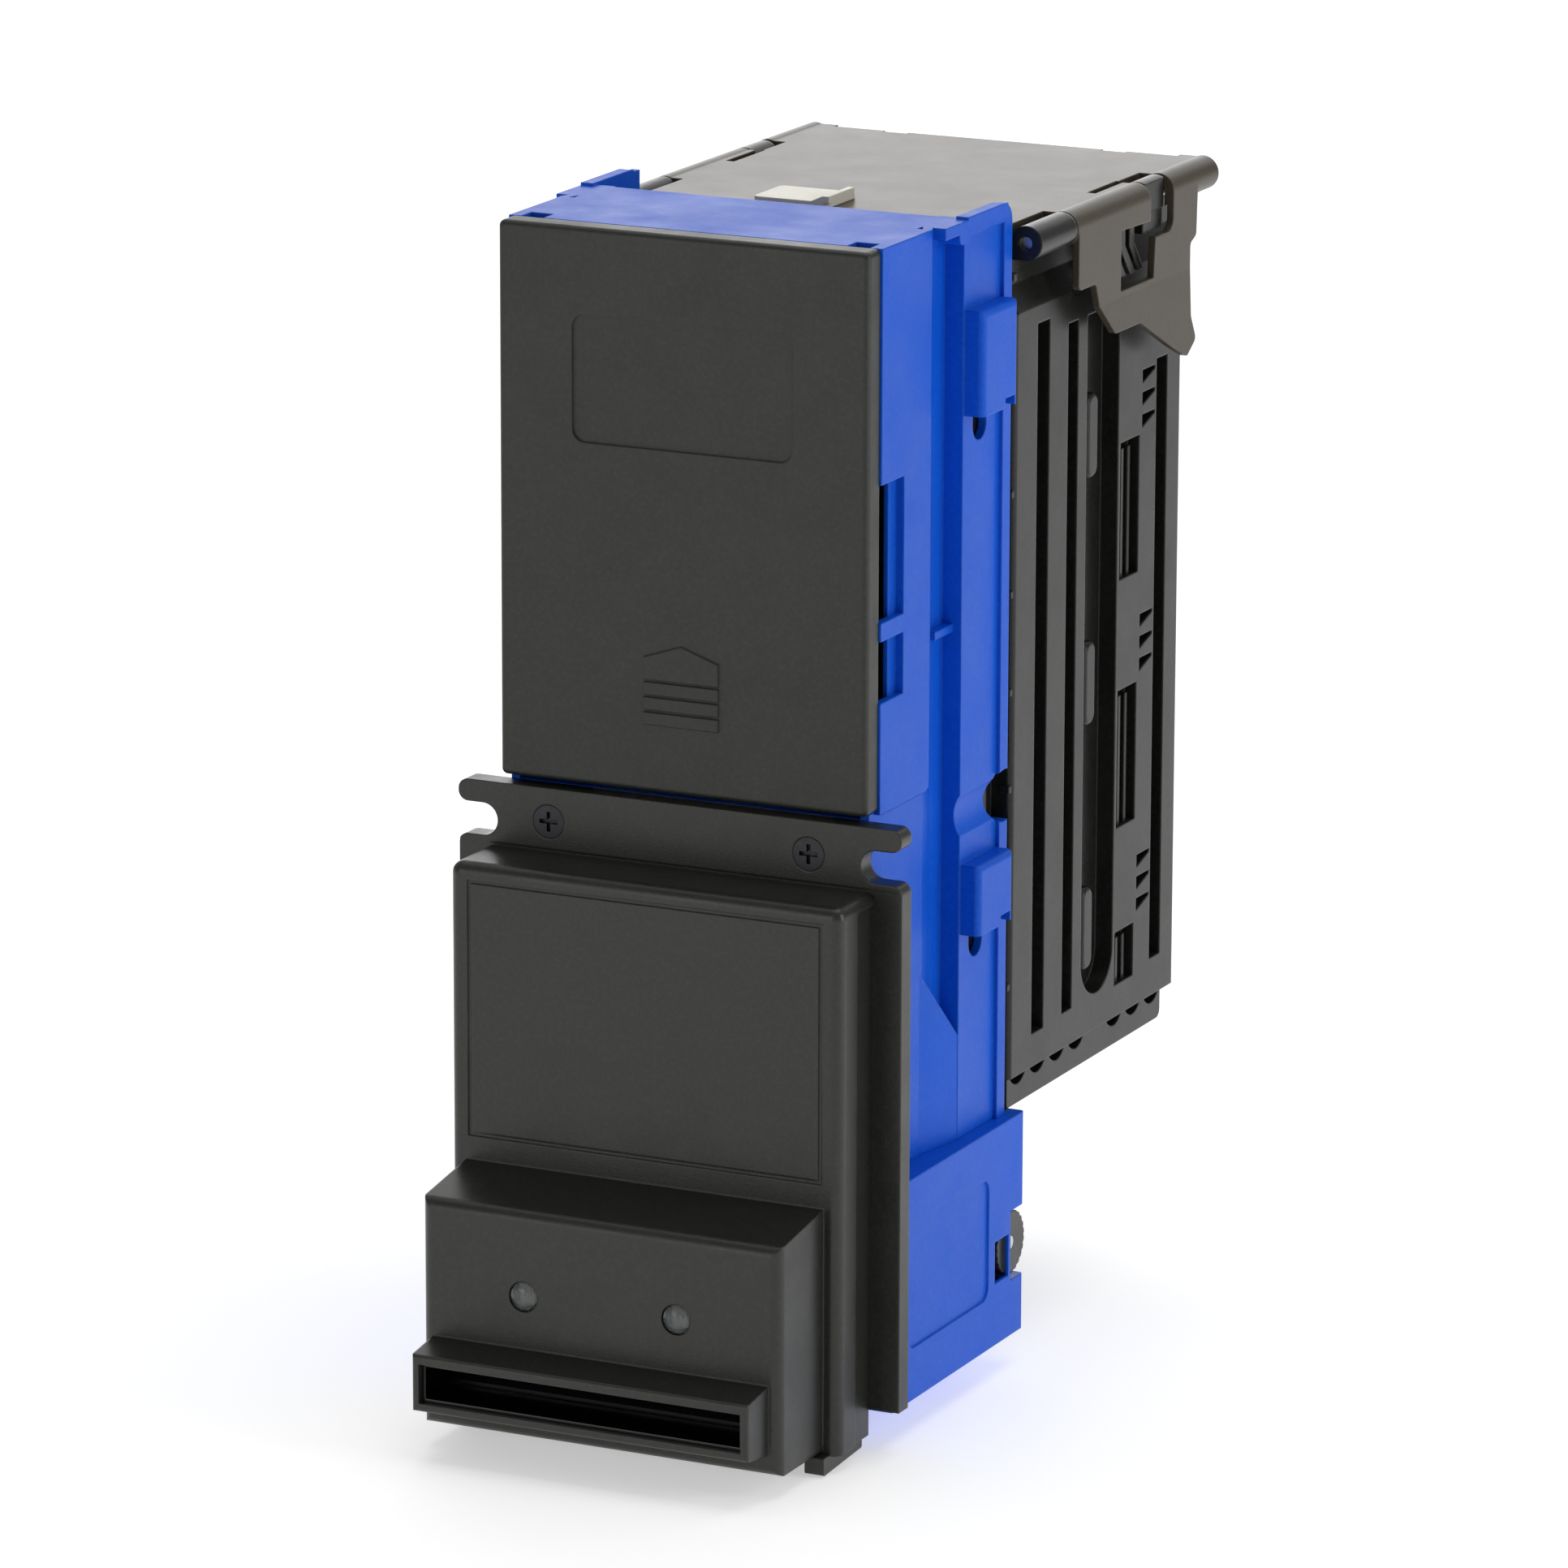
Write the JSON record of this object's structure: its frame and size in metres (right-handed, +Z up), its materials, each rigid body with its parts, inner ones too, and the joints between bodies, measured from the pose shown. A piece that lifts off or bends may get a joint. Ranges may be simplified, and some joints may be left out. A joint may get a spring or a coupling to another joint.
{
  "type": "banknote acceptor",
  "caption": "Banknote acceptor for a vending machine, with a note mouth, belt transport, up-stacker and lift-off cash box.",
  "frame": {"origin": "midway between the two mounting slots, on the front face of the mounting flange, which seats on the inside of the machine's door", "axes": "+X to the right seen from the customer's side, +Y into the machine, +Z up"},
  "size_m": [0.1082, 0.2207, 0.2678],
  "materials": {
    "front_black": "fine moulded texture, black",
    "cover_black": "fine moulded texture, black",
    "gloss_black": "polished black",
    "clear_lens": "clear, domed",
    "blue_housing": "satin moulded blue",
    "box_black": "satin black, moulded relief",
    "lid_grey": "satin charcoal",
    "cream_tab": "natural nylon, cream",
    "guide_black": "smooth black",
    "green_board": "solder-masked circuit board",
    "chip_black": "moulded chip package",
    "led_white": "surface-mount lamps",
    "steel": "zinc-plated steel",
    "spring_steel": "drawn spring wire",
    "screw_black": "blackened steel",
    "roller_rubber": "moulded rubber",
    "belt_rubber": "flat moulded belt",
    "gear_white": "natural acetal",
    "plate_grey": "smooth grey",
    "cap_silver": "capacitor can"
  },
  "bodies": {
    "acceptor": {"flange_plate": "front_black", "front_bezel": "front_black", "bezel_screws": "screw_black", "mouth_insert": "gloss_black", "led_lenses": "clear_lens", "indicator_board": "green_board", "indicator_leds": "led_white", "lower_note_guide": "guide_black", "upper_note_guide": "guide_black", "turn_guide": "guide_black", "sensor_board": "green_board", "optical_sensors": "chip_black", "side_frame_right": "steel", "side_frame_left": "steel", "frame_screws": "steel", "timing_belt": "belt_rubber", "transport_belts": "belt_rubber", "idler_stud": "steel", "transport_motor": "steel", "upper_housing": "blue_housing", "lower_housing": "blue_housing", "path_plate": "blue_housing", "stacker_frame": "steel", "stacker_motor": "steel", "main_board": "green_board", "board_screws": "steel", "board_chips": "chip_black", "board_capacitors": "cap_silver", "board_headers": "led_white"},
    "service_cover": {"service_cover": "cover_black"},
    "feed": {"feed_shaft": "steel", "feed_rollers": "roller_rubber", "feed_pulley": "gear_white"},
    "pinch": {"pinch_shaft": "steel", "pinch_rollers": "roller_rubber"},
    "drum": {"drum_shaft": "steel", "belt_drums": "plate_grey", "centre_drum": "plate_grey", "drum_pulley": "gear_white", "drum_gear": "gear_white"},
    "head": {"head_shaft": "steel", "head_pulleys": "plate_grey"},
    "idler": {"idler_gear": "gear_white"},
    "thumb": {"thumb_gear": "gear_white", "thumb_shaft": "steel", "thumbwheel": "front_black"},
    "motor": {"motor_pinion": "steel"},
    "stacker_drive": {"stacker_shaft": "steel", "stacker_pinions": "gear_white", "stacker_gear": "gear_white"},
    "stacker_motor_drive": {"stacker_motor_gear": "steel"},
    "pusher": {"push_plate": "plate_grey", "push_racks": "gear_white"},
    "cash_box": {"cash_box_body": "box_black", "cash_box_base": "box_black", "pressure_springs": "spring_steel", "hinge_pins": "steel"},
    "pressure": {"pressure_plate": "plate_grey"},
    "lid": {"cash_box_lid": "lid_grey"},
    "catch": {"lid_catch": "cream_tab"}
  },
  "joints": [
    {"name": "cover_slide", "type": "slide", "parent": "acceptor", "child": "service_cover", "axis": [0, 0, 1], "range_m": [0, 0.125]},
    {"name": "drum_spin", "type": "hinge", "parent": "acceptor", "child": "drum", "pos_m": [0, 0.0298, -0.0959], "axis": [1, 0, 0], "continuous": true},
    {"name": "feed_spin", "type": "hinge", "parent": "acceptor", "child": "feed", "pos_m": [0, -0.0028, -0.1069], "axis": [1, 0, 0], "continuous": true},
    {"name": "pinch_spin", "type": "hinge", "parent": "acceptor", "child": "pinch", "pos_m": [0, -0.0028, -0.1202], "axis": [1, 0, 0], "continuous": true},
    {"name": "head_spin", "type": "hinge", "parent": "acceptor", "child": "head", "pos_m": [0, 0.0429, 0.1067], "axis": [1, 0, 0], "continuous": true},
    {"name": "idler_spin", "type": "hinge", "parent": "acceptor", "child": "idler", "pos_m": [-0.046, 0.05294, -0.10055], "axis": [1, 0, 0], "continuous": true},
    {"name": "thumb_spin", "type": "hinge", "parent": "acceptor", "child": "thumb", "pos_m": [0, 0.0706, -0.1041], "axis": [1, 0, 0], "continuous": true},
    {"name": "motor_spin", "type": "hinge", "parent": "acceptor", "child": "motor", "pos_m": [-0.046, 0.0622, -0.08799], "axis": [1, 0, 0], "continuous": true},
    {"name": "push_slide", "type": "slide", "parent": "acceptor", "child": "pusher", "axis": [0, 1, 0], "range_m": [0, 0.014]},
    {"name": "stacker_spin", "type": "hinge", "parent": "acceptor", "child": "stacker_drive", "pos_m": [0, 0.0332, 0.0207], "axis": [-1, 0, 0], "range_deg": [-1, 138.69]},
    {"name": "stacker_motor_spin", "type": "hinge", "parent": "acceptor", "child": "stacker_motor_drive", "pos_m": [0.02, 0.0282, 0.03248], "axis": [-1, 0, 0], "range_deg": [-231.15, 2]},
    {"name": "cash_box_lift", "type": "slide", "parent": "acceptor", "child": "cash_box", "axis": [0, 0, 1], "range_m": [0, 0.215]},
    {"name": "pressure_slide", "type": "slide", "parent": "cash_box", "child": "pressure", "axis": [0, 1, 0], "range_m": [0, 0.08], "stiffness_N_per_m": 60, "springref_m": -0.06, "deforming": ["pressure_springs"]},
    {"name": "lid_hinge", "type": "hinge", "parent": "cash_box", "child": "lid", "pos_m": [-0.0493, 0.1232, 0.1249], "axis": [0, -1, 0], "range_deg": [0, 110]},
    {"name": "catch_slide", "type": "slide", "parent": "lid", "child": "catch", "axis": [0, 1, 0], "range_m": [0, 0.004]}
  ],
  "couplings": [
    {"joint": "feed_spin", "follows": "drum_spin", "ratio": 2.2683},
    {"joint": "pinch_spin", "follows": "drum_spin", "ratio": -3.7959},
    {"joint": "head_spin", "follows": "drum_spin", "ratio": 3.7872},
    {"joint": "idler_spin", "follows": "drum_spin", "ratio": -1.0345},
    {"joint": "thumb_spin", "follows": "drum_spin", "ratio": 1.875},
    {"joint": "motor_spin", "follows": "drum_spin", "ratio": 3},
    {"joint": "stacker_spin", "follows": "push_slide", "rad_per_m": 166.67},
    {"joint": "stacker_motor_spin", "follows": "push_slide", "rad_per_m": -277.78}
  ]
}
